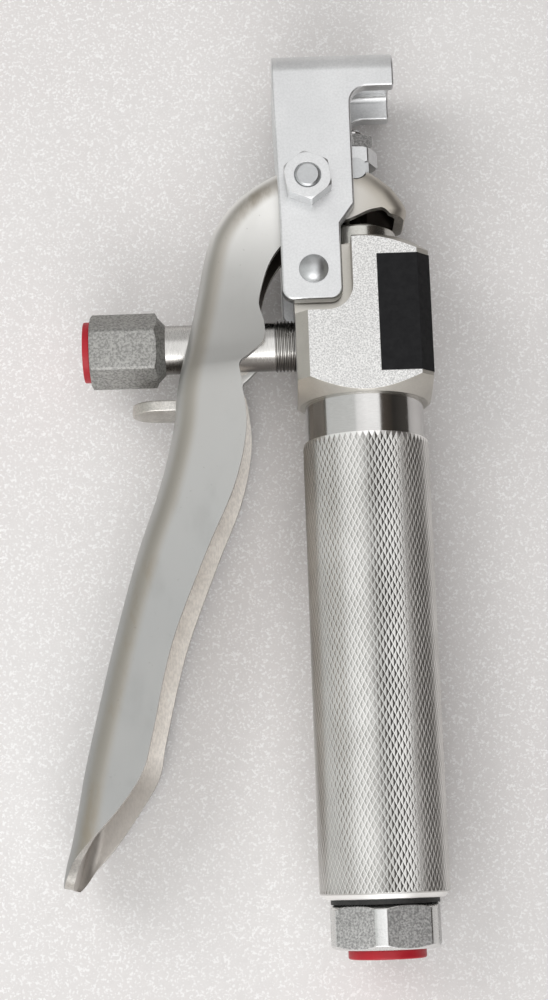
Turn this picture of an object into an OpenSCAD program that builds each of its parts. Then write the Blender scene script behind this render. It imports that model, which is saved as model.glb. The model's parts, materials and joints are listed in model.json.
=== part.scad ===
// Hand-held lever-operated dispensing nozzle.
// Fluid comes in at the hex end of the knurled grip and leaves at the side outlet.
// Squeezing the lever lifts the valve stem off its seat.
// Frame: +Y along the grip towards the bracket, +X away from the lever,
// +Z out of the side that carries the nut. The origin is on the grip's axis,
// at the outer start of the inlet thread.

/* [Grip] */
// Diameter of the knurled grip
grip_d = 32; // [30:0.5:34]
// Length of the grip tube with its bright end rim
grip_len = 113.3; // [100:0.1:125]
// Height of the plain rim below the knurl
rim_len = 1.3; // [1:0.1:2]
// Bore of the grip tube
grip_bore_d = 18; // [16:0.5:20]
// Diameter of the smooth neck above the grip
neck_d = 30.2; // [29:0.1:30.6]
// Length of the smooth neck
neck_len = 9.8; // [8:0.1:12]

/* [Valve block] */
// Width and depth of the square block
block_w = 34; // [33:0.5:36]
// Length of the block along the grip
block_len = 40.5; // [40:0.5:42]
// Width cut off each long edge
block_edge = 3.1; // [2:0.1:4]
// Radius where the turned end chamfers start
turned_r = 16.4; // [15.5:0.1:17]
// Slope of the turned end chamfers, from the end face
turned_angle = 36; // [30:1:42]
// Diameter of the valve chamber
chamber_d = 14; // [13:0.5:14.5]
// Half thickness of the tongue between the bracket legs
tongue_half = 9.2; // [9:0.1:9.3]
// Radius in the corner of the bracket pocket
pocket_r = 6.5; // [5:0.5:7]

/* [Gland and stem] */
// Diameter of the gland nut's collar
gland_d = 20; // [19:0.2:21]
// Height of the gland nut's collar
gland_h = 5.3; // [4:0.1:5.6]
// Diameter of the valve stem
stem_d = 6; // [5.5:0.1:6]
// Width across flats of the stem nut
stem_nut_af = 11.1; // [10:0.1:11.5]
// Width across flats of the stem lock nut
lock_nut_af = 10; // [9:0.1:11]

/* [Bracket] */
// Thickness of the bracket's sheet
bracket_t = 4; // [3.5:0.1:4]
// Width over the two legs
bracket_w = 27; // [27:0.1:27.6]
// Outside radius of the two bends
bend_r = 6; // [5:0.1:6.5]

/* [Lever] */
// Thickness of the lever's sheet
lever_t = 2.3; // [2:0.1:2.4]
// Width of the lever's hood, between the bracket legs
hood_w = 18.4; // [18:0.1:18.4]
// Width of the lever's handle
handle_w = 28; // [26:0.5:30]
// Outside radius of the hood's bends
hood_bend = 4.6; // [4:0.1:5]
// Outside radius of the handle's bends
handle_bend = 5.5; // [5:0.1:6]

/* [Ports] */
// Radius of the inlet thread's wall
inlet_r = 7.475; // [7.4:0.005:7.6]
// Length of the inlet thread
inlet_len = 11; // [10:0.5:12]
// Width across flats of the inlet hex
inlet_af = 26; // [25:0.5:28]
// Radius of the outlet thread's wall
outlet_r = 5.72; // [5.6:0.02:5.8]
// Length of the outlet thread
outlet_len = 11; // [10:0.5:12]
// Width across flats of the outlet hex
outlet_af = 17; // [16.6:0.2:18]
// Diameter of the outlet tube
outlet_tube_d = 12.5; // [12:0.1:12.6]

/* [Hidden] */
$fn = 72;

steel = "#b9bbb8";
bright = "#d5d5d2";
zinc = "#c3c7ca";
nickel = "#bdbcb4";
rubber = "#222222";

// Stations along the grip
cap_recess = 3.5;
inlet_hex_len = 10.7;
washer_t = 1.2;
hex_top = inlet_hex_len - cap_recess;
grip_y = hex_top + washer_t;
neck_y = grip_y + grip_len;
block_y = neck_y + neck_len;
block_top = block_y + block_len;
seat_y = block_y + 8.5;
outlet_y = block_y + 16.5;
spigot_len = 15;
spigot_d = 23.9;
adapter_thread_d = 21.9;
adapter_thread_len = 14;

// Pivots and where they are
rivet_at = [-11.9, block_top - 7.6];
bolt_at = [-12.7, block_top + 15.5];
rivet_d = 5;
bolt_d = 6.3;
sleeve_d = 8.5;
bolt_af = 11.4;
nut_h = 5.1;
running = 0.05;

// Valve parts, stacked in the chamber
seat_h = 4.3;
poppet_y = seat_y + seat_h + 0.4;
spring_y = poppet_y + 4.4;
washer_y = block_top - 15.5;
packing_y = washer_y + 1.5;
gland_y = block_top - 8;
trunnion_d = 5.6;
trunnion_y = block_top + 20.4;
stem_nut_y = trunnion_y + trunnion_d / 2 + 0.2;
stem_nut_h = 4.3;
lock_nut_h = 3.7;
stem_top = stem_nut_y + stem_nut_h + lock_nut_h + 2.1;

// Pocket in each side of the block for the bracket's foot
pocket_x = -2.3;
pocket_y = block_y + 21.1;

// Bracket outline, seen from the side
foot_y = block_y + 25;
step_y = block_top + 4.2;
tab_y = block_top + 41;
bracket_top = block_top + 51.4;
leg_left = -20;
head_left = -20.9;
foot_right = -4.7;
leg_right = -0.9;
tab_right = 10.5;

// Outlet stations, along -X
outlet_port_x = -block_w / 2;
outlet_end = 69.4;
outlet_recess = 3;
outlet_hex_x = 52.4;
cone_x = 50.2;
outlet_seat_x = 9;

// Lever ribs from the nose to the tip: the back of the channel, then the free edge
// of the flange on the nut's side and of the one on the far side, seen from the side
ribs = [[[12, 179.2], [8.4, 179.9], [8.4, 179.9]],
        [[12.8, 181.6], [6.6, 181.5], [6.6, 181.5]],
        [[11.2, 185], [4.6, 181.4], [4.6, 181.4]],
        [[8, 189], [2.5, 180.9], [2.5, 180.9]],
        [[1, 193.6], [-3, 178.6], [-3, 178.6]],
        [[-12, 195], [-9.5, 177.6], [-9.5, 177.6]],
        [[-22, 191.8], [-16.4, 174.6], [-16.4, 174.6]],
        [[-31, 185.8], [-20.2, 171.4], [-20.2, 171.4]],
        [[-37, 177.8], [-23, 167.2], [-23, 167.2]],
        [[-39.7, 170], [-25.1, 161.8], [-25.1, 161.8]],
        [[-41.6, 160.5], [-26, 156.8], [-26, 156.8]],
        [[-43.2, 153], [-24.8, 151.5], [-24.8, 151.5]],
        [[-44.8, 146], [-25.2, 146.8], [-25.2, 146.8]],
        [[-45.8, 142], [-28.6, 143.2], [-28.6, 143.2]],
        [[-46.6, 138.4], [-31.3, 140.6], [-31, 140.6]],
        [[-47.5, 133], [-30.9, 135.6], [-29.8, 135.6]],
        [[-48.6, 124], [-30.1, 124], [-29.1, 124]],
        [[-52.4, 109.5], [-33.4, 109.7], [-32.2, 109.6]],
        [[-58.2, 93], [-40.8, 93.2], [-38.9, 93.4]],
        [[-64.4, 71], [-49.7, 71], [-47.4, 71.2]],
        [[-69.6, 50], [-54.8, 49.8], [-52.9, 49.4]],
        [[-71.8, 40.5], [-57.5, 40.2], [-54.9, 39.9]],
        [[-73.4, 32], [-63.4, 31.6], [-59.6, 31.9]],
        [[-75, 24], [-70.5, 24], [-65.4, 23.8]],
        [[-76.2, 19.5], [-74.2, 19.8], [-69, 19.6]],
        [[-77.3, 14.6], [-76.6, 14.8], [-73.9, 14.6]],
        [[-77.7, 13.2], [-77.3, 13.4], [-76.2, 12.7]]];
// The ribs between which the narrow hood widens into the handle
flare_from = 8.6;
flare_to = 15;
rib_steps = 3;
bend_steps = 4;
// How much each side of the handle draws in over the last two ribs, to round its tip
tip_round = 6;
tongue_y = 130.4;
tongue_t = 2.9;
tongue_r = 6.6;
slot_half = 7.1;
slot_top = 160;

label_t = 0.2;
label_x = 3.8;
label_y = block_y + 5;
label_h = 30.2;

function clamped(list, i) = list[max(0, min(len(list) - 1, i))];
function blend_point(a, b, c, d, t) =
    0.5 * (2 * b + (c - a) * t + (2 * a - 5 * b + 4 * c - d) * t * t
           + (3 * b - a - 3 * c + d) * t * t * t);
// A smooth curve through the points of a list
function smooth(list) = concat(
    [for (i = [0:len(list) - 2]) for (k = [0:rib_steps - 1])
        blend_point(clamped(list, i - 1), list[i], list[i + 1], clamped(list, i + 2), k / rib_steps)],
    [list[len(list) - 1]]);
function column(k) = [for (rib = ribs) rib[k]];
function left_of(list, i) = let (h = clamped(list, i + 1) - clamped(list, i - 1)) [-h[1], h[0]] / norm(h);
function reversed(list) = [for (i = [1:len(list)]) list[len(list) - i]];
function eased(t) = let (u = max(0, min(1, t))) u * u * (3 - 2 * u);
function flare(i) = eased((i / rib_steps - flare_from) / (flare_to - flare_from));
function lever_half(i) = let (tip = max(0, (i / rib_steps - len(ribs) + 3) / 2))
    hood_w / 2 + (handle_w - hood_w) / 2 * flare(i) - tip_round * tip * tip;
function lever_bend(i) = hood_bend + (handle_bend - hood_bend) * flare(i);

back = smooth(column(0));
edge_near = smooth(column(1));
edge_far = smooth(column(2));

// One side of the channel's section, from the flange's free edge round the bend to the back.
// A flange shorter than the bend is only part of its arc.
function side_corners(i, edge, side, inset) = let (
        bend = lever_bend(i), r = bend - inset, inward = left_of(back, i),
        along = [inward[1], -inward[0]], offset = edge - back[i],
        reach = offset * inward, slip = offset * along, start = asin(max(0, 1 - reach / bend)))
    [for (k = [0:bend_steps + 1]) let (
        turn = reach > bend ? 90 * max(0, k - 1) / bend_steps
                            : start + (90 - start) * k / (bend_steps + 1),
        depth = reach > bend && k == 0 ? reach : bend - r * sin(turn),
        p = back[i] + depth * inward + slip * min(1, depth / reach) * along)
        [p[0], p[1], side * (lever_half(i) - bend + r * cos(turn))]];
// The corners of the channel's section at one station, round its outline
function rib_corners(i) = concat(
    side_corners(i, edge_near[i], 1, 0), reversed(side_corners(i, edge_far[i], -1, 0)),
    side_corners(i, edge_far[i], -1, lever_t), reversed(side_corners(i, edge_near[i], 1, lever_t)));

// A round piece along the grip's axis
module along_y(d, y0, y1) {
    translate([0, y0, 0]) rotate([-90, 0, 0]) cylinder(d = d, h = y1 - y0);
}

// A round piece along X, from x0 down to x1 on the lever's side
module along_x(d, x0, x1, y = outlet_y) {
    translate([-x1, y, 0]) rotate([0, 90, 0]) cylinder(d = d, h = x1 - x0);
}

// A round piece along Z at a pivot
module across(at, d, z0, z1) {
    translate([at[0], at[1], z0]) cylinder(d = d, h = z1 - z0);
}

module ring_y(outer, inner, y0, y1) {
    difference() {
        along_y(outer, y0, y1);
        along_y(inner, y0 - 1, y1 + 1);
    }
}

// A hexagonal prism on +Z with its ends turned to a 30 degree chamfer
module turned_hex(af, h, bottom = true, top = true, turn = 0.98) {
    ac = af / cos(30);
    cut = (1 - turn + 0.06) * ac / 2 * tan(30);
    rim = ac / 2 * turn;
    intersection() {
        linear_extrude(h) circle(d = ac, $fn = 6);
        rotate_extrude() polygon([
            [0, 0], [rim - (bottom ? cut / tan(30) : 0), 0], [rim, bottom ? cut : 0],
            [rim, top ? h - cut : h], [rim - (top ? cut / tan(30) : 0), h], [0, h]]);
    }
}

// The block's square section with its long edges cut off
module block_section() {
    half = block_w / 2;
    flat = half - block_edge;
    polygon([[half, -flat], [half, flat], [flat, half], [-flat, half],
             [-half, flat], [-half, -flat], [-flat, -half], [flat, -half]]);
}

module bracket_pocket() {
    centre = [pocket_x - pocket_r, pocket_y + pocket_r];
    translate([0, 0, tongue_half]) linear_extrude(block_w) union() {
        translate(centre) circle(pocket_r);
        translate([-block_w, pocket_y]) square([block_w + centre[0], block_len]);
        translate([centre[0] - 1, centre[1]]) square([pocket_r + 1, block_len]);
    }
}

module valve_block() {
    half = block_w / 2;
    far = half * 1.5;
    rise = (far - turned_r) * tan(turned_angle);
    color(steel) difference() {
        union() {
            intersection() {
                translate([0, block_y, 0]) rotate([-90, 0, 0]) linear_extrude(block_len) block_section();
                translate([0, block_y, 0]) rotate([-90, 0, 0]) rotate_extrude() polygon([
                    [0, 0], [turned_r, 0], [far, rise], [far, block_len - rise],
                    [turned_r, block_len], [0, block_len]]);
            }
            along_y(neck_d, neck_y, block_y + 1);
            along_y(spigot_d, neck_y - spigot_len, neck_y + 1);
        }
        along_y(8, neck_y - spigot_len - 1, seat_y + 1);
        along_y(chamber_d, seat_y, block_top + 1);
        along_x(outlet_tube_d + 0.7, outlet_seat_x, block_w);
        along_x(7, 0, outlet_seat_x + 1);
        across(rivet_at, rivet_d, -block_w, block_w);
        bracket_pocket();
        mirror([0, 0, 1]) bracket_pocket();
        ring_y(spigot_d + 4, spigot_d - 3.2, neck_y - 4, neck_y - 1.6);
    }
}

module grip_tube() {
    color(bright) difference() {
        union() {
            translate([0, grip_y, 0]) rotate([-90, 0, 0])
                cylinder(r1 = grip_d / 2 - 1.4, r2 = grip_d / 2 - 0.5, h = rim_len);
            along_y(grip_d, grip_y + rim_len, neck_y);
        }
        along_y(grip_bore_d, grip_y - 1, neck_y + 1);
        along_y(spigot_d + 0.1, neck_y - spigot_len, neck_y + 1);
        along_y(adapter_thread_d + 0.1, grip_y - 1, grip_y + adapter_thread_len + 1);
    }
}

module grip_seal_ring() {
    color(rubber) translate([0, neck_y - 2.8, 0]) rotate([-90, 0, 0])
        rotate_extrude() translate([spigot_d / 2 - 0.85, 0]) circle(d = 1.5, $fn = 24);
}

module inlet_adapter() {
    color(steel) difference() {
        union() {
            translate([0, -cap_recess, 0]) rotate([-90, 0, 0]) rotate([0, 0, 82.3])
                turned_hex(inlet_af, inlet_hex_len, turn = 0.944);
            along_y(adapter_thread_d - 2, hex_top - 1, grip_y + 1);
            along_y(adapter_thread_d, grip_y, grip_y + adapter_thread_len);
        }
        along_y(17, -cap_recess - 1, 0);
        along_y(inlet_r * 2, -1, inlet_len);
        along_y(12, inlet_len - 1, grip_y + adapter_thread_len + 1);
    }
}

module inlet_washer() {
    color(rubber) ring_y(26.6, adapter_thread_d - 1.9, hex_top, grip_y);
}

// A closed-ended mesh thimble that stands in the grip behind the inlet
module inlet_strainer() {
    base = grip_y + adapter_thread_len;
    color("#a8905a") difference() {
        union() {
            along_y(17.6, base, base + 1.5);
            along_y(11, base, base + 24);
        }
        along_y(9.6, base - 1, base + 23);
        for (row = [0:3]) for (turn = [0:5])
            translate([0, base + 4.5 + row * 4.8, 0]) rotate([0, turn * 60 + row * 30, 0])
                cylinder(d = 2.6, h = 8);
    }
}

module outlet_fitting() {
    cone_r = outlet_af / 2;
    tube_r = outlet_tube_d / 2;
    color(steel) difference() {
        union() {
            translate([-outlet_hex_x, outlet_y, 0]) rotate([0, -90, 0]) rotate([0, 0, 79.5])
                turned_hex(outlet_af, outlet_end - outlet_hex_x);
            translate([-outlet_hex_x - 0.5, outlet_y, 0]) rotate([0, 90, 0]) rotate_extrude()
                polygon([[0, 0], [cone_r + 0.1, 0], [cone_r + 0.1, 0.5],
                         [tube_r, outlet_hex_x + 0.5 - cone_x], [0, outlet_hex_x + 0.5 - cone_x]]);
            along_x(outlet_tube_d, outlet_seat_x + 0.2, outlet_hex_x);
            along_x(outlet_tube_d + 0.6, outlet_seat_x + 1.2, 22);
        }
        along_x(outlet_af * 0.8, outlet_end - outlet_recess, outlet_end + 1);
        along_x(outlet_r * 2, outlet_end - outlet_recess - outlet_len, outlet_end);
        along_x(7, outlet_seat_x - 1, outlet_end - outlet_recess - outlet_len + 1);
    }
}

module gland_nut() {
    collar = gland_d / 2;
    color(bright) difference() {
        union() {
            translate([0, block_top, 0]) rotate([-90, 0, 0]) rotate_extrude() polygon([
                [0, 0], [collar, 0], [collar, gland_h - 0.6], [collar - 0.6, gland_h], [0, gland_h]]);
            along_y(chamber_d - 0.1, gland_y, block_top + 1);
        }
        along_y(stem_d + 2 * running, gland_y - 1, block_top + gland_h + 1);
    }
}

module packing_washer() {
    color("#c8a95c") ring_y(chamber_d - 0.1, stem_d + 0.4, washer_y, packing_y);
}

// Two soft rings, squeezed between the washer and the gland nut
module stem_packing() {
    ring = (gland_y - packing_y) / 2;
    color(rubber) for (i = [0:1])
        ring_y(chamber_d - 0.2, stem_d + 2 * running, packing_y + i * ring + 0.1,
               packing_y + (i + 1) * ring - 0.1);
}

module valve_seat() {
    color(bright) difference() {
        ring_y(chamber_d - 0.1, 6, seat_y, seat_y + seat_h);
        ring_y(chamber_d + 2, chamber_d - 3.3, seat_y + 1.4, seat_y + 3.2);
    }
}

module seat_seal_ring() {
    color(rubber) translate([0, seat_y + 2.3, 0]) rotate([-90, 0, 0])
        rotate_extrude() translate([chamber_d / 2 - 0.85, 0]) circle(d = 1.5, $fn = 24);
}

module valve_stem() {
    color(bright) {
        along_y(stem_d, poppet_y, stem_top - 0.8);
        translate([0, stem_top - 0.8, 0]) rotate([-90, 0, 0])
            cylinder(d1 = stem_d, d2 = stem_d - 1.6, h = 0.8);
        along_y(10.4, poppet_y + 1.2, poppet_y + 3.4);
    }
}

module poppet_seal() {
    color("#e6e2d6") ring_y(10.4, stem_d, poppet_y - 0.3, poppet_y + 1.2);
}

// A round-wire compression spring between the poppet and the packing washer
module closing_spring() {
    wire = 1.3;
    coil_r = 4.9;
    turns = 3.5;
    low = poppet_y + 3.4 + wire / 2;
    high = washer_y - wire / 2;
    sides = 8;
    rings = 72;
    points = [for (i = [0:rings]) let (
            a = i * turns * 360 / rings, y = low + (high - low) * i / rings)
        for (s = [0:sides - 1]) let (
            b = s * 360 / sides, r = coil_r + wire / 2 * cos(b))
            [r * cos(a), y + wire / 2 * sin(b), r * sin(a)]];
    walls = [for (i = [0:rings - 1]) for (s = [0:sides - 1]) let (
            p = i * sides + s, q = i * sides + (s + 1) % sides)
        [p, q, q + sides, p + sides]];
    caps = [[for (s = [sides - 1:-1:0]) s], [for (s = [0:sides - 1]) rings * sides + s]];
    color(steel) polyhedron(points, concat(walls, caps), convexity = 6);
}

// Rounded corner posts joined by squares: a side view of the bracket's leg and top tab
module bracket_side() {
    foot_r = 3;
    fillet = 4.5;
    foot_w = foot_right - leg_left;
    leg_w = leg_right - leg_left;
    difference() {
        union() {
            for (x = [leg_left + foot_r, foot_right - foot_r])
                translate([x, foot_y + foot_r]) circle(foot_r);
            translate([leg_left + foot_r, foot_y]) square([foot_w - 2 * foot_r, 10]);
            translate([leg_left, foot_y + foot_r]) square([foot_w, 30]);
            polygon([[leg_left, step_y], [foot_right, step_y], [leg_right, step_y + 5.2],
                     [leg_right, tab_y], [head_left, tab_y]]);
            translate([leg_left, tab_y - fillet])
                square([leg_w + fillet, fillet + 1]);
            translate([head_left, tab_y]) square([tab_right - head_left, 20]);
        }
        translate([leg_right + fillet, tab_y - fillet]) circle(fillet);
        translate([foot_right + 0.01, foot_y]) square([4, step_y - foot_y]);
    }
}

// End view of the bent sheet, with the bends at the top
module bracket_end(half, r) {
    top = bracket_top - (bracket_w / 2 - half);
    translate([-half, 0]) square([2 * half, top - r]);
    translate([-half + r, 0]) square([2 * (half - r), top]);
    for (s = [-1, 1])
        translate([s * (half - r), top - r]) circle(r);
}

module bracket() {
    half = bracket_w / 2;
    color(zinc) difference() {
        intersection() {
            translate([0, 0, -half - 1]) linear_extrude(bracket_w + 2) bracket_side();
            translate([-40, 0, 0]) rotate([0, 90, 0]) linear_extrude(80) difference() {
                bracket_end(half, bend_r);
                bracket_end(half - bracket_t, bend_r - bracket_t);
            }
        }
        across(rivet_at, rivet_d + 2 * running, -20, 20);
        across(bolt_at, bolt_d + 0.2, -20, 20);
    }
}

// A domed head, flat side down on z
module dome(at, z, d, h) {
    r = (d * d / 4 + h * h) / (2 * h);
    translate([at[0], at[1], z]) intersection() {
        translate([0, 0, h - r]) sphere(r);
        cylinder(d = d + 1, h = h + 1);
    }
}

module pivot_rivet() {
    face = bracket_w / 2 + 0.05;
    color(bright) {
        across(rivet_at, rivet_d, -face - 0.5, face + 0.5);
        dome(rivet_at, face, 7.6, 2.2);
        mirror([0, 0, 1]) dome(rivet_at, face, 7.6, 2.2);
    }
}

module cross_bolt() {
    face = bracket_w / 2;
    color(zinc) {
        across(bolt_at, bolt_d, -face - 1, face + nut_h + 0.5);
        translate([bolt_at[0], bolt_at[1], -face - 4.2]) rotate(12) turned_hex(bolt_af, 4.2, top = false);
    }
}

module cross_nut() {
    color(zinc) difference() {
        translate([bolt_at[0], bolt_at[1], bracket_w / 2]) rotate(37.5) turned_hex(bolt_af, nut_h, false);
        across(bolt_at, bolt_d, 0, 40);
    }
}

module pivot_sleeve() {
    reach = bracket_w / 2 - bracket_t;
    color(steel) difference() {
        across(bolt_at, sleeve_d, -reach, reach);
        across(bolt_at, bolt_d + 0.1, -20, 20);
    }
}

// The pressed channel: one section after another, joined into a closed shell
module lever_shell() {
    last = len(back) - 1;
    ring = 4 * (bend_steps + 2);
    corners = [for (i = [0:last]) each rib_corners(i)];
    sides = [for (i = [0:last - 1]) for (k = [0:ring - 1]) let (
            p = i * ring + k, q = i * ring + (k + 1) % ring)
        each [[p, p + ring, q], [q, p + ring, q + ring]]];
    nose = [for (k = [0:ring / 2 - 2])
        each [[k, k + 1, ring - 1 - k], [k + 1, ring - 2 - k, ring - 1 - k]]];
    tip = [for (face = nose) [for (corner = reversed(face)) corner + last * ring]];
    polyhedron(corners, concat(sides, nose, tip), convexity = 8);
}

module lever() {
    reach = handle_w;
    color(nickel) difference() {
        union() {
            lever_shell();
            tongue();
        }
        across(bolt_at, sleeve_d + 2 * running, -reach, reach);
        across([0, trunnion_y], trunnion_d + 0.4, -reach, reach);
        translate([-trunnion_d / 2 - 0.2, trunnion_y, -reach])
            cube([trunnion_d + 0.4, 10, 2 * reach]);
        translate([-5.6, trunnion_y - 6, -hood_w / 2 + lever_t])
            cube([11.2, 12, hood_w - 2 * lever_t]);
        translate([-60, tongue_y + tongue_t, -slot_half])
            cube([21.5, slot_top - slot_half - tongue_y - tongue_t, 2 * slot_half]);
        along_x(2 * slot_half, 38.5, 60, slot_top - slot_half);
    }
}

// The lug left standing where the slot was cut for the outlet tube
module tongue() {
    translate([-52.5, tongue_y, 0]) rotate([-90, 0, 0]) linear_extrude(tongue_t) union() {
        circle(tongue_r);
        translate([0, -tongue_r]) square([5.8, 2 * tongue_r]);
    }
}

// A flat-sided bar on the stem with a round journal at each end, seated in the hood's notches
module trunnion_bar() {
    flat = 5.5;
    color(zinc) difference() {
        union() {
            across([0, trunnion_y], trunnion_d, -hood_w / 2, hood_w / 2);
            translate([-3.6, trunnion_y - trunnion_d / 2, -flat]) cube([7.2, trunnion_d, 2 * flat]);
        }
        along_y(stem_d + 0.2, trunnion_y - 10, trunnion_y + 10);
    }
}

module stem_nut() {
    color(steel) difference() {
        translate([0, stem_nut_y, 0]) rotate([-90, 0, 0]) rotate(64) turned_hex(stem_nut_af, stem_nut_h);
        along_y(stem_d, 0, stem_top + 9);
    }
}

module stem_lock_nut() {
    low = stem_nut_y + stem_nut_h;
    color(steel) difference() {
        translate([0, low, 0]) rotate([-90, 0, 0]) rotate(28) turned_hex(lock_nut_af, lock_nut_h);
        along_y(stem_d, 0, stem_top + 9);
    }
}

module inlet_cap() {
    color("#c4202c") {
        along_y(19, -cap_recess - 2.3, -cap_recess);
        along_y(16.8, -cap_recess - 0.5, -0.2);
    }
}

module outlet_cap() {
    color("#c4202c") {
        along_x(15.6, outlet_end, outlet_end + 1.8);
        along_x(outlet_af * 0.8 - 0.2, outlet_end - outlet_recess + 0.2, outlet_end + 0.5);
    }
}

// A thin blank sticker that wraps from the nut's side of the block round one long edge
module label() {
    half = block_w / 2;
    flat = half - block_edge;
    out = half + label_t;
    low = 1;
    color("#17181a") translate([0, label_y + label_h, 0]) rotate([90, 0, 0]) linear_extrude(label_h)
        polygon([[label_x, half], [flat, half], [half, flat], [half, low], [out, low],
                 [out, flat + label_t / 2], [flat + label_t / 2, out], [label_x, out]]);
}

valve_block();
grip_tube();
grip_seal_ring();
inlet_adapter();
inlet_washer();
inlet_strainer();
outlet_fitting();
gland_nut();
packing_washer();
stem_packing();
valve_seat();
seat_seal_ring();
valve_stem();
poppet_seal();
closing_spring();
bracket();
pivot_rivet();
cross_bolt();
cross_nut();
pivot_sleeve();
lever();
trunnion_bar();
stem_nut();
stem_lock_nut();
inlet_cap();
outlet_cap();
label();
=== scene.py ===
"""A lever-operated dispensing nozzle lying on a pale floor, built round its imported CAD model."""
import json
import math

import bmesh
import bpy
from mathutils import Matrix, Vector, kdtree

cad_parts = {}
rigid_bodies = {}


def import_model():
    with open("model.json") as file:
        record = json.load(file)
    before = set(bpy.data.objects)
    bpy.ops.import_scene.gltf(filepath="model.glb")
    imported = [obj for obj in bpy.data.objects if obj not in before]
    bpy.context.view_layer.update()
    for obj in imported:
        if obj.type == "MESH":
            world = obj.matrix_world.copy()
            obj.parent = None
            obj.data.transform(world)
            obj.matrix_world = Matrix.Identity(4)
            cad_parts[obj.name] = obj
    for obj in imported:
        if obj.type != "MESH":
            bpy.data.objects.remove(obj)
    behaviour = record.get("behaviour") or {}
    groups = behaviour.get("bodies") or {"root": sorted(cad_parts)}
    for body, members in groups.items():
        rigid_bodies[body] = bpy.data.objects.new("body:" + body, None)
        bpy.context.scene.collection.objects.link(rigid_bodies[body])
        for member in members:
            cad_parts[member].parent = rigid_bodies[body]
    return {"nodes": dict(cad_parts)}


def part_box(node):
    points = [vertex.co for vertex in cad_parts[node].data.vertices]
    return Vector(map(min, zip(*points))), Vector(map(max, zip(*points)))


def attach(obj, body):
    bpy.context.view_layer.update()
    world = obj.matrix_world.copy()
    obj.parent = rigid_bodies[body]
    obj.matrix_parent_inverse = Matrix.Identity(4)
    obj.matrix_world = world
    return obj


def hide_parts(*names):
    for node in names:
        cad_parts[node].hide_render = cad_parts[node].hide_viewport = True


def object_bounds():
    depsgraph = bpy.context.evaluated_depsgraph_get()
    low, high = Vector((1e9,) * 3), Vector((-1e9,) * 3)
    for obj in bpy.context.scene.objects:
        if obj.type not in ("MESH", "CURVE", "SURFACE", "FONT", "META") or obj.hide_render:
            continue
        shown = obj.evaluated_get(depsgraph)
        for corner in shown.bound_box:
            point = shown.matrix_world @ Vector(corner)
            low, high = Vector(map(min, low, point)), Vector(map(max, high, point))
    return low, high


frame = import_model()
cad_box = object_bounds()
NODES = frame["nodes"]
MM = 0.001

# shared places, in millimetres
OUTLET_Y = 148
BOLT, BOLT_RADIUS = (-12.7, 187.5), 3.15
NOTCH, NOTCH_RADIUS = (0.0, 192.4), 3.0


# ---------------------------------------------------------------- node helpers

class Graph:
    """A short way to write a node tree's nodes and links."""

    def __init__(self, tree):
        self.tree = tree
        self.coords = self.add("TexCoord").outputs["Object"]

    def add(self, kind, inputs=(), **settings):
        node = self.tree.nodes.new("ShaderNode" + kind)
        for key, value in settings.items():
            setattr(node, key, value)
        for key, value in dict(inputs).items():
            self.put(node.inputs[key], value)
        return node

    def put(self, socket, value):
        if isinstance(value, bpy.types.NodeSocket):
            self.tree.links.new(value, socket)
        elif isinstance(value, (tuple, list)) and len(value) == 3 and socket.type == "RGBA":
            socket.default_value = (*value, 1)
        else:
            socket.default_value = value

    def noise(self, scale, detail=3, roughness=0.55, stretch=(1, 1, 1)):
        """Noise from 0 to 1, with scale in features per millimetre."""
        at = self.add("Mapping", {"Vector": self.coords, "Scale": stretch}).outputs["Vector"]
        return self.add("TexNoise", {"Vector": at, "Scale": scale * 1000, "Detail": detail,
                                     "Roughness": roughness}).outputs["Fac"]

    def attribute(self, name):
        return self.add("Attribute", attribute_name=name).outputs["Fac"]

    def along(self, axis):
        """The place along an axis of the object, in metres."""
        return self.add("SeparateXYZ", {"Vector": self.coords}).outputs[axis]

    def ramp(self, value, low, high, out_low=0.0, out_high=1.0):
        return self.add("MapRange", {"Value": value, "From Min": low, "From Max": high, "To Min": out_low,
                                     "To Max": out_high}, interpolation_type="SMOOTHSTEP").outputs["Result"]

    def math(self, operation, *values):
        node = self.add("Math", operation=operation)
        for socket, value in zip(node.inputs, values):
            self.put(socket, value)
        return node.outputs[0]

    def mix(self, factor, a, b, blend="MIX"):
        node = self.add("Mix", data_type="RGBA", blend_type=blend)
        self.put(node.inputs["Factor"], factor)
        self.put(node.inputs[6], a)
        self.put(node.inputs[7], b)
        return node.outputs[2]

    def bump(self, height, distance, below=None):
        inputs = {"Height": height, "Strength": 1.0, "Distance": distance * MM}
        if below is not None:
            inputs["Normal"] = below
        return self.add("Bump", inputs).outputs["Normal"]


class Paint(Graph):
    """One material, with its shader."""

    def __init__(self, name):
        self.material = bpy.data.materials.new(name)
        self.material.use_nodes = True
        super().__init__(self.material.node_tree)
        self.shader = self.tree.nodes["Principled BSDF"]

    def set(self, key, value):
        self.put(self.shader.inputs[key], value)


def metal(name, light, dark, roughness, drift_scale=0.05, grain=2.5, grain_depth=0.008, grain_tone=0.0,
          grain_gloss=0.1, stretch=(1, 1, 1)):
    """A metal that drifts between two tones, with a fine grain in its tone, its gloss and its surface."""
    p = Paint(name)
    drift = p.ramp(p.noise(drift_scale, 4, 0.6), 0.32, 0.68)
    fine = p.noise(grain, 2, 0.7, stretch)
    sand = p.ramp(fine, 0.34, 0.66, 1 - grain_tone, 1 + grain_tone)
    tone = p.mix(drift, dark, light)
    speckle = p.add("CombineXYZ", {0: sand, 1: sand, 2: sand}).outputs[0]
    p.set("Base Color", p.mix(1.0, tone, speckle, "MULTIPLY"))
    p.set("Metallic", 1.0)
    worn = p.ramp(drift, 0, 1, roughness, roughness + 0.05)
    p.set("Roughness", p.math("MULTIPLY_ADD", fine, grain_gloss, worn))
    p.set("Normal", p.bump(fine, grain_depth))
    return p


# ---------------------------------------------------------------- materials

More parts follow.
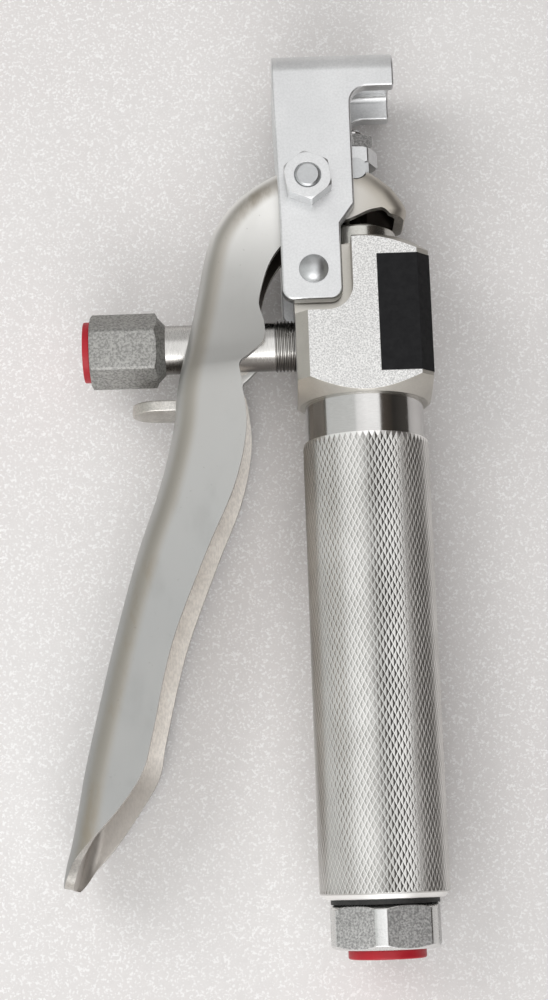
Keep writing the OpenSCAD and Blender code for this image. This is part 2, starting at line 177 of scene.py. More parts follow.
def knurl_material():
    """Grey plated facets that vary at random, with painted highlight lines along the crests and the grooves.
    """
    p = metal("knurled_plating", (0.80, 0.79, 0.77), (0.72, 0.71, 0.69), 0.22, grain=4.0, grain_gloss=0.14)
    depth = p.attribute("depth")
    wear = p.ramp(p.noise(0.07, 4, 0.6), 0.35, 0.65)
    facet = p.mix(wear, (0.54, 0.53, 0.51), (0.65, 0.64, 0.62))
    # painted highlight: the crests and the grooves are given a near-white colour
    groove = p.ramp(depth, 0.80, 0.96)
    crest = p.ramp(depth, 0.20, 0.04)
    p.set("Base Color", p.mix(p.math("MAXIMUM", groove, crest), facet, (0.96, 0.95, 0.93)))
    return p


def lever_skin_material():
    """Dull plating: cool grey on the flanges, lighter towards the hood and browner towards the nose, with a
    painted brown reflection along the bend and faint stains and specks.
    """
    p = Paint("lever_skin")
    cloud = p.ramp(p.noise(0.035, 4, 0.6, (1, 0.5, 1)), 0.35, 0.65)
    stain = p.ramp(p.noise(0.13, 5, 0.65, (1, 0.4, 1)), 0.45, 0.75)
    specks = p.ramp(p.noise(0.9, 2, 0.5), 0.70, 0.78)
    fine = p.noise(2.2, 3, 0.7)
    high = p.ramp(p.along("Y"), 0.030, 0.175)
    flange = p.mix(high, (0.385, 0.39, 0.385), (0.56, 0.56, 0.545))
    hood = p.ramp(p.along("Y"), 0.163, 0.186)
    flange = p.mix(p.math("MULTIPLY", cloud, 0.35), flange, (0.50, 0.49, 0.47))
    flange = p.mix(hood, flange, (0.93, 0.92, 0.895))
    # painted reflection: a brown band along the bend, broken up a little by the stains
    fold = p.attribute("fold")
    band = p.math("MULTIPLY", p.ramp(fold, 0.8, 3.0), p.ramp(fold, 6.8, 4.2))
    band = p.math("MULTIPLY", band, p.ramp(stain, 0, 1, 0.60, 0.95))
    tone = p.mix(band, flange, (0.39, 0.35, 0.29))
    nose = p.ramp(p.along("X"), -0.012, 0.008)
    tone = p.mix(p.math("MULTIPLY", nose, 0.8), tone, (0.50, 0.46, 0.40))
    tone = p.mix(p.math("MULTIPLY", specks, 0.2), tone, (0.16, 0.15, 0.13))
    p.set("Base Color", tone)
    p.set("Metallic", 1.0)
    p.set("Roughness", p.math("MULTIPLY_ADD", fine, 0.10, p.ramp(stain, 0, 1, 0.40, 0.48)))
    dents = p.bump(p.noise(0.09, 2, 0.5, (1, 0.5, 1)), 0.10)
    p.set("Normal", p.bump(fine, 0.008, dents))
    return p


def cap_material():
    """Soft red moulded plastic."""
    p = Paint("cap_plastic")
    p.set("Base Color", p.mix(p.noise(0.4), (0.36, 0.004, 0.012), (0.46, 0.008, 0.020)))
    p.set("Roughness", p.ramp(p.noise(1.5), 0.3, 0.7, 0.42, 0.54))
    p.shader.inputs["Subsurface Weight"].default_value = 0.08
    p.shader.inputs["Subsurface Radius"].default_value = (0.002, 0.0005, 0.0005)
    p.set("Normal", p.bump(p.noise(1.2, 2), 0.01))
    return p


def round_metal(name, light, dark, roughness, grain):
    """Turned work round the outlet's axis, with painted shade towards its top and more so underneath."""
    p = metal(name, light, dark, roughness, grain=grain, grain_tone=0.08, stretch=(3, 0.4, 0.4))
    # painted shade: darker underneath the axis and towards the top
    side = p.math("SUBTRACT", p.along("Y"), OUTLET_Y * MM)
    under = p.ramp(p.math("MULTIPLY", side, -1.0), 0.0026, 0.0046)
    over = p.ramp(side, 0.0040, 0.0058)
    shade = p.math("MAXIMUM", p.math("MULTIPLY", under, 0.75), p.math("MULTIPLY", over, 0.55))
    unshaded = p.shader.inputs["Base Color"].links[0].from_socket
    p.set("Base Color", p.mix(shade, unshaded, (0.075, 0.062, 0.052)))
    return p


def lever_inside_material():
    """Painted light and shade: made bright under the handle to stand in for light, darker towards the tip and
    nearly black up in the hood.
    """
    # painted light: a very bright base that stands in for light reaching the inside
    p = metal("lever_inside", (0.96, 0.92, 0.87), (0.86, 0.82, 0.77), 0.44, drift_scale=0.08, grain=1.8,
              grain_tone=0.08, stretch=(1, 0.4, 1))
    unshaded = p.shader.inputs["Base Color"].links[0].from_socket
    # painted shade: nearly black up in the hood
    hood = p.ramp(p.along("Y"), 0.138, 0.168)
    # painted shade: darker towards the tip
    painted_tip_shade = p.mix(p.ramp(p.along("Y"), 0.047, 0.036, 0.0, 0.62), unshaded, (0.34, 0.31, 0.28))
    p.set("Base Color", p.mix(hood, painted_tip_shade, (0.085, 0.072, 0.062)))
    return p


def matt(name, dark, light, rough, scale=0.8, depth=0.01):
    """A matt, non-metallic surface with a fine mottle."""
    p = Paint(name)
    p.set("Base Color", p.mix(p.ramp(p.noise(scale, 5, 0.65), 0.35, 0.70), dark, light))
    p.set("Roughness", p.ramp(p.noise(scale * 2.5), 0.3, 0.7, rough - 0.08, rough + 0.08))
    p.set("Normal", p.bump(p.noise(scale * 3), depth))
    return p


def label_material():
    """Blank black film, rubbed a little at random."""
    p = matt("label_film", (0.005, 0.005, 0.006), (0.009, 0.009, 0.010), 0.5, 0.4, 0.012)
    p.shader.inputs["Specular IOR Level"].default_value = 0.22
    return p


def floor_material():
    """Pale cast stone with glints of quartz."""
    p = Paint("pale_floor")
    cloud = p.ramp(p.noise(0.006, 4, 0.6), 0.3, 0.7)
    grains = p.ramp(p.noise(0.35, 5, 0.75), 0.40, 0.72)
    base = p.mix(cloud, (0.755, 0.725, 0.715), (0.79, 0.77, 0.76))
    base = p.mix(p.math("MULTIPLY", grains, 0.35), base, (0.70, 0.68, 0.67))
    glint = p.ramp(p.noise(1.5, 2, 0.6), 0.53, 0.64)
    p.set("Base Color", p.mix(p.math("MULTIPLY", glint, 0.8), base, (0.96, 0.95, 0.945)))
    p.set("Roughness", 0.5)
    p.shader.inputs["Specular IOR Level"].default_value = 0.35
    p.set("Normal", p.bump(p.noise(0.5), 0.03))
    return p


MATERIALS = {name: paint.material for name, paint in {
    "drawn": metal("drawn_bar", (0.80, 0.795, 0.785), (0.72, 0.715, 0.705), 0.32, grain=2.6, grain_depth=0.04,
                   grain_tone=0.26, grain_gloss=0.2),
    "turned": metal("turned_steel", (0.58, 0.56, 0.515), (0.48, 0.46, 0.42), 0.24, grain=1.6, grain_tone=0.04,
                    stretch=(1, 5, 1), grain_depth=0.004),
    "polished": metal("polished_steel", (0.62, 0.61, 0.60), (0.55, 0.54, 0.53), 0.06, grain=1.2,
                      grain_gloss=0.05, stretch=(0.6, 8, 0.6), grain_depth=0.002, grain_tone=0.04),
    "collar": metal("collar_steel", (0.58, 0.57, 0.54), (0.48, 0.47, 0.44), 0.14, grain=1.5, grain_tone=0.05),
    "knurl": knurl_material(),
    "zinc": metal("zinc_plate", (0.77, 0.775, 0.78), (0.68, 0.685, 0.69), 0.30, drift_scale=0.09, grain=1.7,
                  grain_tone=0.05, grain_depth=0.02, grain_gloss=0.12),
    "bright_zinc": metal("bright_zinc", (0.64, 0.65, 0.655), (0.54, 0.55, 0.56), 0.36, grain=1.7,
                         grain_tone=0.04, grain_depth=0.008),
    "lever_skin": lever_skin_material(),
    "lever_inside": lever_inside_material(),
    # painted highlight: the cut edges get a brighter metal, for the bright line along the rim
    "lever_edge": metal("lever_edge", (0.70, 0.68, 0.645), (0.50, 0.475, 0.435), 0.36, drift_scale=0.15,
                        grain=2.0, grain_tone=0.12, grain_depth=0.02),
    "hex": metal("hex_steel", (0.60, 0.595, 0.59), (0.50, 0.495, 0.49), 0.52, grain=1.8, grain_tone=0.32,
                 grain_depth=0.03, grain_gloss=0.15),
    "hex_turned": metal("hex_turned", (0.80, 0.80, 0.79), (0.70, 0.70, 0.69), 0.22, grain=1.8,
                        grain_tone=0.05),
    "dull_hex": metal("dull_hex", (0.43, 0.425, 0.41), (0.35, 0.345, 0.33), 0.52, grain=1.6, grain_tone=0.28,
                      grain_depth=0.03, grain_gloss=0.15),
    "tube": round_metal("drawn_tube", (0.64, 0.63, 0.61), (0.50, 0.49, 0.47), 0.20, 1.4),
    "thread": round_metal("thread_steel", (0.46, 0.45, 0.43), (0.32, 0.31, 0.29), 0.22, 3.0),
    "brass": metal("strainer_brass", (0.80, 0.62, 0.30), (0.68, 0.50, 0.22), 0.30, grain=3.0),
    "spring": metal("spring_wire", (0.55, 0.55, 0.55), (0.45, 0.45, 0.45), 0.28, grain=3.0),
    "cap": cap_material(),
    "label": label_material(),
    "rubber": matt("seal_rubber", (0.010, 0.010, 0.010), (0.026, 0.025, 0.024), 0.6),
    "poppet": matt("poppet_plastic", (0.60, 0.58, 0.52), (0.70, 0.68, 0.62), 0.48),
}.items()}


# ---------------------------------------------------------------- mesh helpers

def sharpen(mesh, angle):
    """Smooth shading, with a crease wherever two faces meet at more than the angle, in degrees."""
    bm = bmesh.new()
    bm.from_mesh(mesh)
    limit = math.radians(angle)
    for face in bm.faces:
        face.smooth = True
    for edge in bm.edges:
        edge.smooth = len(edge.link_faces) == 2 and edge.calc_face_angle(0) < limit
    bm.to_mesh(mesh)
    bm.free()


def settle(piece, body, slot, material, nodes=(), bevel=0.0, steps=2, limit=28, crease=35, clamp=True):
    """Gives a finished mesh its rounded edges, shading, material and body; the slot argument is not used."""
    if not piece.users_collection:
        bpy.context.scene.collection.objects.link(piece)
    for item in material if isinstance(material, list) else [material]:
        piece.data.materials.append(MATERIALS[item])
    sharpen(piece.data, 180 if bevel else crease)
    if bevel:
        change = piece.modifiers.new("edge_round", "BEVEL")
        change.width = bevel * MM
        change.segments = steps
        change.limit_method = "ANGLE"
        change.angle_limit = math.radians(limit)
        change.use_clamp_overlap = clamp
        change.miter_outer = "MITER_ARC"
        flat = piece.modifiers.new("flat_faces", "WEIGHTED_NORMAL")
        flat.keep_sharp = True
        flat.weight = 100
    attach(piece, body)
    if nodes:
        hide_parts(*nodes)
    return piece


def from_points(name, points, faces):
    """A mesh object from points in millimetres."""
    mesh = bpy.data.meshes.new(name)
    mesh.from_pydata([Vector(p) * MM for p in points], [], faces)
    mesh.validate()
    return bpy.data.objects.new(name, mesh)


def from_cad(name, node, change=None):
    """A new mesh with the CAD node's shape, its flat faces made whole, for bevelling."""
    bm = bmesh.new()
    bm.from_mesh(NODES[node].data)
    bmesh.ops.remove_doubles(bm, verts=bm.verts, dist=2e-6)
    bmesh.ops.dissolve_limit(bm, angle_limit=math.radians(0.6), verts=bm.verts, edges=bm.edges)
    for face in bm.faces:
        face.material_index = 0
    if change:
        change(bm)
    mesh = bpy.data.meshes.new(name)
    bm.to_mesh(mesh)
    bm.free()
    return bpy.data.objects.new(name, mesh)


def copied(name, node, body, slot, material, bevel, change=None, **more):
    """Rebuilds a CAD node's shape as a piece of its own, with rounded edges."""
    return settle(from_cad(name, node, change), body, slot, material, [node], bevel=bevel, **more)


def grid_faces(rows, columns, closed):
    """Quads between rows of points, each row closed into a ring or not."""
    last = columns if closed else columns - 1
    return [(r * columns + c, r * columns + (c + 1) % columns,
             (r + 1) * columns + (c + 1) % columns, (r + 1) * columns + c)
            for r in range(rows - 1) for c in range(last)]


def block(low, high):
    """A box for cutting with."""
    points = [(x, y, z) for z in (low[2], high[2]) for y in (low[1], high[1]) for x in (low[0], high[0])]
    faces = [(0, 2, 3, 1), (4, 5, 7, 6), (0, 1, 5, 4), (2, 6, 7, 3), (0, 4, 6, 2), (1, 3, 7, 5)]
    return from_points("cutter", points, faces)


def prism(name, first, second):
    """A solid between two outlines with the same number of points."""
    count = len(first)
    ends = [tuple(reversed(range(count))), tuple(range(count, 2 * count))]
    return from_points(name, first + second, grid_faces(2, count, True) + ends)


def arc(count, turn=math.pi):
    """The angles of the points inside an arc, without its two ends."""
    return [turn * k / count for k in range(1, count)]


def rod(at, radius, reach, around=64):
    """A round bar along Z for cutting with."""
    angles = [2 * math.pi * k / around for k in range(around)]
    ends = [[(at[0] + radius * math.cos(a), at[1] + radius * math.sin(a), z) for a in angles]
            for z in (-reach, reach)]
    return prism("cutter", *ends)


def slot_cutter():
    """The slot the outlet tube passes through, round at its top."""
    half, bottom, top = 7.1, 133.3, 152.9
    outline = [(half, bottom), (half, top)]
    outline += [(half * math.cos(a), top + half * math.sin(a)) for a in arc(32)]
    outline += [(-half, top), (-half, bottom)]
    return prism("cutter", *([(x, y, z) for z, y in outline] for x in (-60, -38.5)))


def carve(piece, cutters):
    """Cuts the cutters' shapes out of a piece for good."""
    scene = bpy.context.scene.collection.objects
    scene.link(piece)
    for cutter in cutters:
        scene.link(cutter)
        change = piece.modifiers.new("cut", "BOOLEAN")
        change.object = cutter
        change.solver = "EXACT"
    bpy.context.view_layer.update()
    whole = bpy.data.meshes.new_from_object(piece.evaluated_get(bpy.context.evaluated_depsgraph_get()))
    piece.modifiers.clear()
    piece.data = whole
    for cutter in cutters:
        bpy.data.objects.remove(cutter)


def thread(name, start, length, root, crest, pitch, height, around=64):
    """Helical thread ridges round a shaft along X at a height, fading out at both ends."""
    shape = [(0.0, 0.0), (0.30, 1.0), (0.45, 1.0), (0.75, 0.0), (1.0, 0.0)]
    rings = int(length / pitch * around)
    points = []
    for i in range(rings + 1):
        a = 2 * math.pi * i / around
        fade = min(1, 3 * i / around, 3 * (rings - i) / around)
        for step, high in shape + [(0.5, -0.6)]:
            along = start + (i / around + step - 0.5) * pitch
            radius = root + (crest - root) * high * (fade if high > 0 else 1)
            points.append((along, height + radius * math.cos(a), radius * math.sin(a)))
    count = len(shape) + 1
    faces = grid_faces(rings + 1, count, True)
    faces.append(tuple(reversed(range(count))))
    faces.append(tuple(rings * count + k for k in range(count)))
    return from_points(name, points, faces)


# ---------------------------------------------------------------- camera, light and floor

def aim_camera():
    """Looks down on the nozzle, leaning and turned a little, as the photograph does."""
    place, lean, turn = (-26.84, 16.19, 472.3), math.radians(11), math.radians(1.9)
    camera = bpy.data.objects.new("view", bpy.data.cameras.new("view"))
    bpy.context.scene.collection.objects.link(camera)
    camera.data.lens = 68.4
    camera.data.clip_start = 0.01
    right = Vector((math.cos(turn), -math.sin(turn), 0))
    up = Vector((math.sin(turn) * math.cos(lean), math.cos(turn) * math.cos(lean), math.sin(lean)))
    axes = Matrix((right, up, right.cross(up))).transposed().to_4x4()
    camera.matrix_world = Matrix.Translation(Vector(place) * MM) @ axes
    bpy.context.scene.camera = camera


def light_room():
    """A pale room: bright overhead, greyer on the left, dark brown on the right, dimmer past the far end."""
    world = bpy.data.worlds.new("studio")
    bpy.context.scene.world = world
    world.use_nodes = True
    g = Graph(world.node_tree)
    way = g.add("SeparateXYZ", {"Vector": g.add("TexCoord").outputs["Generated"]})
    bands = g.add("ValToRGB", {0: g.math("MULTIPLY_ADD", way.outputs["X"], 0.5, 0.5)})
    stops = [(0.00, (0.56, 0.57, 0.56)), (0.325, (0.62, 0.63, 0.62)), (0.350, (0.84, 0.84, 0.84)),
             (0.52, (1.0, 1.0, 1.0)), (0.715, (1.0, 1.0, 1.0)), (0.735, (0.075, 0.062, 0.052)),
             (0.86, (0.045, 0.038, 0.032)), (0.90, (0.028, 0.026, 0.024)), (1.0, (0.06, 0.055, 0.05))]
    ramp = bands.color_ramp
    for element, (position, colour) in zip(ramp.elements, (stops[0], stops[-1])):
        element.position = position
        element.color = (*colour, 1)
    for position, colour in stops[1:-1]:
        ramp.elements.new(position).color = (*colour, 1)
    far = g.mix(g.ramp(way.outputs["Y"], 0.42, 0.54), (1, 1, 1), (0.50, 0.495, 0.49))
    near = g.mix(g.ramp(way.outputs["Y"], -0.3, -0.8), far, (1.15, 1.15, 1.15))
    room = g.mix(1.0, bands.outputs[0], near, "MULTIPLY")
    path = g.add("LightPath")
    dim = g.mix(g.math("MULTIPLY", path.outputs["Is Diffuse Ray"], 0.22), room, (0, 0, 0))
    seen = g.mix(path.outputs["Is Camera Ray"], dim, (0.66, 0.645, 0.64))
    ground = world.node_tree.nodes["Background"]
    g.put(ground.inputs["Color"], seen)
    ground.inputs["Strength"].default_value = 1.3


def add_panel(name, place, size, power, reflected=True):
    """A flat lamp turned towards the middle of the nozzle."""
    middle = Vector((-20, 110, 0)) * MM
    data = bpy.data.lights.new(name, "AREA")
    data.shape = "RECTANGLE"
    data.size, data.size_y = size[0] * MM, size[1] * MM
    data.energy = power
    lamp = bpy.data.objects.new(name, data)
    lamp.visible_glossy = reflected
    bpy.context.scene.collection.objects.link(lamp)
    at = Vector(place) * MM
    aim = (middle - at).to_track_quat("-Z", "Y").to_matrix().to_4x4()
    lamp.matrix_world = Matrix.Translation(at) @ aim


def lay_floor():
    """A wide slab just under the lowest piece."""
    low = cad_box[0][2] / MM - 0.05
    reach, cells = 12000, 24
    lines = [-reach + 2 * reach * k / cells for k in range(cells + 1)]
    points = [(x, y, low) for y in lines for x in lines]
    floor = from_points("floor", points, grid_faces(cells + 1, cells + 1, False))
    bpy.context.scene.collection.objects.link(floor)
    floor.data.materials.append(floor_material().material)


aim_camera()
light_room()
add_panel("window", (-120, -560, 520), (700, 260), 2.2)
add_panel("softbox", (-560, 420, 620), (500, 500), 2.4, reflected=False)
lay_floor()


# ---------------------------------------------------------------- grip

def knurled_grip():
    """Diamond knurl: two crossing families of grooves, with a low pyramid between them."""
    lo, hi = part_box("grip_tube")
    start, end = lo.y / MM + 1.3, hi.y / MM
    crest, root, bore = 16.0, 15.78, 8.8
    starts, rows = 68, 78
    ring = 2 * starts
    points, depth = [], []

    def circle(along, radius, deep):
        for k in range(ring):
            a = 2 * math.pi * k / ring
            points.append((radius * math.sin(a), along, radius * math.cos(a)))
            depth.append(deep)

    plain = [(start - 1.3, bore + 1.3, 0.5), (start - 1.3, 14.3, 0), (start - 1.15, 14.65, 0),
             (start - 0.15, 15.5, 0), (start + 0.1, root, 0.8)]
    for along, radius, deep in plain:
        circle(along, radius, deep)
    length = end - start - 0.35
    for r in range(rows + 1):
        edge = min(1, rows - r)
        for k in range(ring):
            a = 2 * math.pi * k / ring
            peak = (r + k) % 2
            radius = root + (crest - root) * peak * edge
            points.append((radius * math.sin(a), start + 0.25 + length * r / rows, radius * math.cos(a)))
            depth.append(1 - peak * edge)
    for along, radius in ((end - 0.06, root - 0.1), (end, 14.9), (end - 0.02, 13.2), (end - 0.4, 12.6)):
        circle(along, radius, 0.3)
    total = len(points) // ring
    faces = []
    for r in range(total - 1):
        for k in range(ring):
            a, b = r * ring + k, r * ring + (k + 1) % ring
            c, d = a + ring, b + ring
            if not len(plain) <= r < len(plain) + rows:
                faces.append((a, c, d, b))
            elif (r - len(plain) + k) % 2:
                faces += [(a, c, b), (b, c, d)]
            else:
                faces += [(a, d, b), (a, c, d)]
    faces.append(tuple(range(ring)))
    faces.append(tuple(reversed([(total - 1) * ring + k for k in range(ring)])))
    grip = from_points("knurled_grip", points, faces)
    grip.data.attributes.new("depth", "FLOAT", "POINT").data.foreach_set("value", depth)
    settle(grip, "body", "knurled_nickel", "knurl", ["grip_tube"], crease=18)


knurled_grip()


# ---------------------------------------------------------------- lever

RIBS = [  # the back, then the free edges of the near and far flanges, from nose to tip
    ((12.0, 179.2), (8.4, 179.9), (8.4, 179.9)), ((12.8, 181.6), (6.6, 181.5), (6.6, 181.5)),
    ((11.2, 185.0), (4.6, 181.4), (4.6, 181.4)), ((8.0, 189.0), (2.5, 180.9), (2.5, 180.9)),
    ((1.0, 193.6), (-3.0, 178.6), (-3.0, 178.6)), ((-12.0, 195.0), (-9.5, 177.6), (-9.5, 177.6)),
    ((-22.0, 191.8), (-16.6, 174.8), (-16.6, 174.8)), ((-31.0, 185.8), (-20.4, 171.6), (-20.4, 171.6)),
    ((-37.0, 177.8), (-23.2, 167.3), (-23.2, 167.3)), ((-39.7, 170.0), (-25.1, 161.8), (-25.1, 161.8)),
    ((-41.6, 160.5), (-26.0, 156.8), (-26.0, 156.8)), ((-43.2, 153.0), (-24.8, 151.5), (-24.8, 151.5)),
    ((-44.8, 146.0), (-25.2, 146.8), (-25.2, 146.8)), ((-45.8, 142.0), (-28.6, 143.2), (-28.6, 143.2)),
    ((-46.6, 138.4), (-31.3, 140.6), (-31.0, 140.6)), ((-47.5, 133.0), (-30.9, 135.6), (-29.8, 135.6)),
    ((-48.6, 124.0), (-30.1, 124.0), (-29.1, 124.0)), ((-52.4, 109.5), (-33.4, 109.7), (-32.2, 109.6)),
    ((-58.2, 93.0), (-40.8, 93.2), (-38.9, 93.4)), ((-64.4, 71.0), (-49.7, 71.0), (-47.4, 71.2)),
    ((-69.6, 50.0), (-54.8, 49.8), (-52.9, 49.4)), ((-71.8, 40.5), (-57.5, 40.2), (-54.9, 39.9)),
    ((-73.4, 32.0), (-63.4, 31.6), (-59.6, 31.9)), ((-75.0, 24.0), (-70.5, 24.0), (-65.4, 23.8)),
    ((-76.2, 19.5), (-74.2, 19.8), (-69.0, 19.6)), ((-77.3, 14.6), (-76.6, 14.8), (-73.9, 14.6)),
    ((-77.7, 13.2), (-77.3, 13.4), (-76.2, 12.7))]
RIB_STEPS = 6
SHEET = 2.3
HOOD_HALF, HANDLE_HALF = 9.2, 14.0
FLARE_FROM, FLARE_TO = 8.6, 15.0  # the ribs between which the hood widens into the handle
LEVER_BORE = 4.3


def smooth_curve(points, steps):
    """A Catmull-Rom curve through points."""
    out = []
    n = len(points)
    for i in range(n - 1):
        a, b, c, d = (Vector(points[max(0, min(n - 1, i + k))]) for k in (-1, 0, 1, 2))
        for s in range(steps):
            t = s / steps
            out.append(0.5 * (2 * b + (c - a) * t + (2 * a - 5 * b + 4 * c - d) * t * t
                              + (3 * b - a - 3 * c + d) * t ** 3))
    out.append(Vector(points[-1]))
    return out


def eased(t):
    """Goes from 0 to 1 with a soft start and end."""
    t = max(0.0, min(1.0, t))
    return t * t * (3 - 2 * t)


def lever_stations():
    """Where each section of the channel stands: back, edges, inward and lengthwise ways, half width, bend."""
    backs, nears, fars = (smooth_curve([rib[k] for rib in RIBS], RIB_STEPS) for k in range(3))
    last = len(backs) - 1
    stations = []
    for i, (back, near, far) in enumerate(zip(backs, nears, fars)):
        along = (backs[min(last, i + 1)] - backs[max(0, i - 1)]).normalized()
        flare = eased((i / RIB_STEPS - FLARE_FROM) / (FLARE_TO - FLARE_FROM))
        tip = max(0.0, (i / RIB_STEPS - len(RIBS) + 3) / 2)
        half = HOOD_HALF + (HANDLE_HALF - HOOD_HALF) * flare - 6 * tip * tip
        stations.append((back, near, far, Vector((-along.y, along.x)), along, half, 4.6 + 0.9 * flare))
    return stations


def channel_side(station, edge, side, inset, steps=22):
    """One side of a section, from the free edge round the bend to the back, evenly spaced.

    A flange shorter than the bend is only part of its arc.
    """
    back, _, _, inward, along, half, bend = station
    reach, slip = (edge - back).dot(inward), (edge - back).dot(along)
    turn = math.asin(max(0.0, 1 - reach / bend))
    flat = max(0.0, reach - bend)
    length = flat + bend * (math.pi / 2 - turn)
    path = []
    for k in range(steps + 1):
        s = length * k / steps
        if s < flat:
            deep, wide = reach - s, half - inset
        else:
            a = turn + (s - flat) / bend
            deep, wide = bend - (bend - inset) * math.sin(a), half - bend + (bend - inset) * math.cos(a)
        p = back + inward * deep + along * (slip * min(1, deep / reach))
        path.append((p.x, p.y, side * wide))
    return path


def channel_skin(station, inset):
    """A whole section at one depth in the sheet, from the near edge to the far edge."""
    near = channel_side(station, station[1], 1, inset)
    far = channel_side(station, station[2], -1, inset)
    across = []
    for k in range(1, 6):
        t = k / 6
        across.append(tuple(near[-1][i] * (1 - t) + far[-1][i] * t for i in range(3)))
    return near + across + far[::-1]


def pressed_lever():
    """The pressed channel, with its pivot bore, trunnion notches and slots cut."""
    stations = lever_stations()
    points = []
    for station in stations:
        points += channel_skin(station, 0) + channel_skin(station, SHEET)[::-1]
    count = len(stations)
    ring = len(points) // count
    faces = [tuple(reversed(f)) for f in grid_faces(count, ring, True)]
    for k in range(ring // 2 - 1):
        cap = (k, k + 1, ring - 2 - k, ring - 1 - k)
        faces.append(cap)
        faces.append(tuple(reversed([(count - 1) * ring + c for c in cap])))
    lever = from_points("pressed_lever", points, faces)
    level, inner = NOTCH[1], HOOD_HALF - SHEET
    carve(lever, [rod(BOLT, LEVER_BORE, 20), rod(NOTCH, NOTCH_RADIUS, 20),
                  block((-NOTCH_RADIUS, level, -20), (NOTCH_RADIUS, level + 11.6, 20)),
                  block((-5.6, level - 6, -inner), (5.6, level + 6, inner)), slot_cutter()])
    mark_lever(lever.data, stations)
    return lever


def mark_lever(mesh, stations):
    """Tells skin, inside and cut edge apart, and stores how far each point stands from the back."""
    tree = kdtree.KDTree(len(stations))
    for i, station in enumerate(stations):
        tree.insert((station[0].x, station[0].y, 0), i)
    tree.balance()
    under, fold = [], []
    for v in mesh.vertices:
        x, y, z = v.co / MM
        back, _, _, inward, _, half, bend = stations[tree.find((x, y, 0))[1]]
        deep, wide = (Vector((x, y)) - back).dot(inward), abs(z)
        if deep > bend:
            skin = half - wide
        elif wide < half - bend:
            skin = deep
        else:
            skin = bend - math.hypot(bend - deep, wide - half + bend)
        under.append(skin)
        fold.append(deep)
    mesh.attributes.new("fold", "FLOAT", "POINT").data.foreach_set("value", fold)
    for face in mesh.polygons:
        depths = [under[v] for v in face.vertices]
        if min(depths) > 0.6 * SHEET:
            face.material_index = 1
        else:
            face.material_index = 2 if max(depths) > 0.6 * SHEET else 0


def lanced_lug():
    """The lug left standing where the slot was cut: a round-ended tongue with a rounded rim, all in the
    brighter cut-edge metal that paints a highlight.
    """
    low, thick, radius, root, centre = 130.4, 2.9, 6.6, -46.4, -52.5
    outline = [(root, -radius), (centre, -radius)]
    outline += [(centre - radius * math.sin(a), -radius * math.cos(a)) for a in arc(24)]
    outline += [(centre, radius), (root, radius)]
    return prism("lanced_lug", *([(x, low + rise, z) for x, z in outline] for rise in (0, thick)))


settle(pressed_lever(), "squeeze_lever", "lever_nickel", ["lever_skin", "lever_inside", "lever_edge"],
       ["lever"], bevel=0.28, limit=50)
settle(lanced_lug(), "squeeze_lever", "lever_nickel", "lever_edge", bevel=0.5, steps=3, limit=50)


# ---------------------------------------------------------------- the rest, from the CAD shapes

def split_block(bm):
    """Bar faces keep the drawn grain; turned and milled ones are smoother; the neck is polished."""
    for face in bm.faces:
        n, c = face.normal, face.calc_center_median() / MM
        flat = max(abs(n.x), abs(n.z)) > 0.99 and max(abs(c.x), abs(c.z)) > 16.5
        neck = c.y < 131.6 and math.hypot(c.x, c.z) > 10
        face.material_index = 0 if flat else 2 if neck else 1


def split_outlet(bm):
    """The hex keeps its dull bar faces; the cone, tube and thread are turned.

    The thread's plain cylinder is taken down to its root, to leave room for the ridges.
    """
    plain, root = 6.55, 6.05
    for v in bm.verts:
        y, z = v.co.y / MM - OUTLET_Y, v.co.z / MM
        r = math.hypot(y, z)
        if abs(r - plain) < 0.03:
            v.co.y, v.co.z = (OUTLET_Y + y * root / r) * MM, z * root / r * MM
    for face in bm.faces:
        c = face.calc_center_median() / MM
        face.material_index = 0 if c.x < -49.9 else 2 if c.x > -22.2 else 1


def split_inlet(bm):
    """The bar's flats are dull; its turned corners and the rest are brighter."""
    for face in bm.faces:
        n, c = face.normal, face.calc_center_median() / MM
        flat = abs(n.y) < 0.02 and c.y < 7.3 and abs(c.x * n.x + c.z * n.z - 13) < 0.05
        face.material_index = 0 if flat else 1


def countersink(bm, at, radius, level, width):
    """Chamfers the round edge of a radius at a level along Z."""
    edges = [e for e in bm.edges if all(
        abs(v.co.z / MM - level) < 0.02 and
        abs(math.hypot(v.co.x / MM - at[0], v.co.y / MM - at[1]) - radius) < 0.03 for v in e.verts)]
    bmesh.ops.bevel(bm, geom=edges, offset=width * MM, segments=1, profile=0.5, affect="EDGES")


def open_nut(bm):
    """Chamfers the nut's hole."""
    countersink(bm, BOLT, BOLT_RADIUS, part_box("cross_nut")[1].z / MM, 0.3)


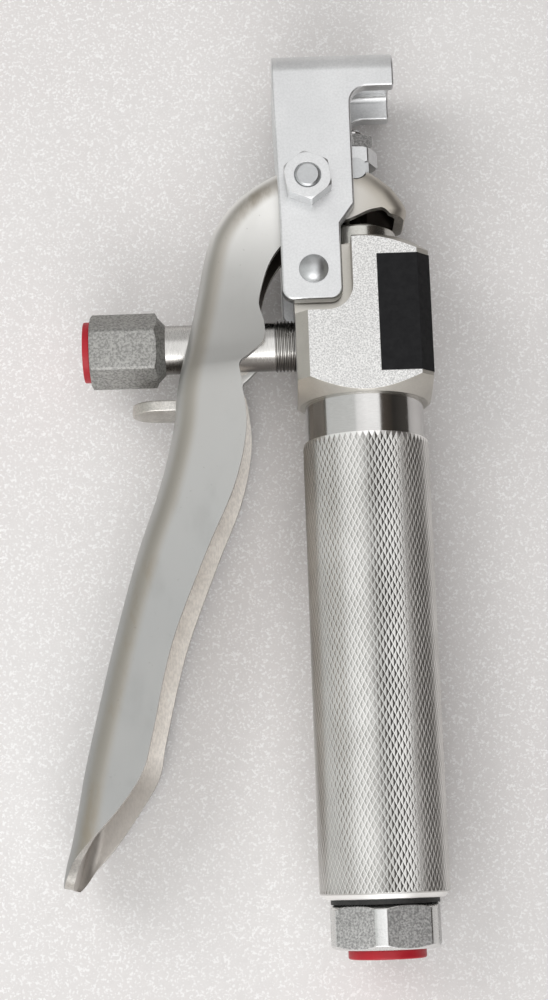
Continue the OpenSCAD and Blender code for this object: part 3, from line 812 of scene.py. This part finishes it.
def bevel_bolt(bm):
    """Chamfers the bolt's end."""
    countersink(bm, BOLT, BOLT_RADIUS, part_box("cross_bolt")[1].z / MM, 0.5)


copied("block_body", "valve_block", "body", "machined_steel", ["drawn", "turned", "polished"], 0.25,
       split_block)
copied("inlet_hex", "inlet_adapter", "body", "machined_steel", ["hex", "hex_turned"], 0.2, split_inlet)
copied("outlet_body", "outlet_fitting", "body", "machined_steel", ["dull_hex", "tube", "thread"], 0.2,
       split_outlet)
copied("gland_collar", "gland_nut", "body", "polished_steel", "collar", 0.2)
copied("bent_bracket", "bracket", "rocking_bracket", "zinc_plate", "zinc", 0.6, steps=4,
       limit=40, clamp=False)
copied("domed_rivet", "pivot_rivet", "body", "polished_steel", "bright_zinc", 0.15)
copied("bolt", "cross_bolt", "rocking_bracket", "zinc_plate", "bright_zinc", 0.15, bevel_bolt)
copied("bolt_nut", "cross_nut", "rocking_bracket", "zinc_plate", "zinc", 0.15, open_nut)
copied("trunnion", "trunnion_bar", "stem", "zinc_plate", "bright_zinc", 0.2)
copied("nut_lower", "stem_nut", "stem", "machined_steel", "zinc", 0.15)
copied("nut_upper", "stem_lock_nut", "stem", "machined_steel", "hex", 0.15)
copied("inlet_plug", "inlet_cap", "inlet_cover", "cap_plastic", "cap", 0.5, steps=3)
copied("outlet_plug", "outlet_cap", "outlet_cover", "cap_plastic", "cap", 0.3, steps=3)
copied("blank_label", "label", "body", "label_black", "label", 0.06)
settle(thread("outlet_thread", -22.2, 6.0, 6.0, 6.6, 0.907, OUTLET_Y), "body", "machined_steel",
       "thread", crease=25)

# the pieces inside keep their CAD shapes
for node, material in {"grip_seal_ring": "rubber", "inlet_washer": "rubber", "inlet_strainer": "brass",
                       "packing_washer": "brass", "stem_packing": "rubber", "valve_seat": "polished",
                       "seat_seal_ring": "rubber", "valve_stem": "polished", "poppet_seal": "poppet",
                       "closing_spring": "spring", "pivot_sleeve": "turned"}.items():
    mesh = NODES[node].data
    mesh.materials.clear()
    mesh.materials.append(MATERIALS[material])

bpy.context.scene.view_settings.view_transform = "Standard"
bpy.context.view_layer.update()
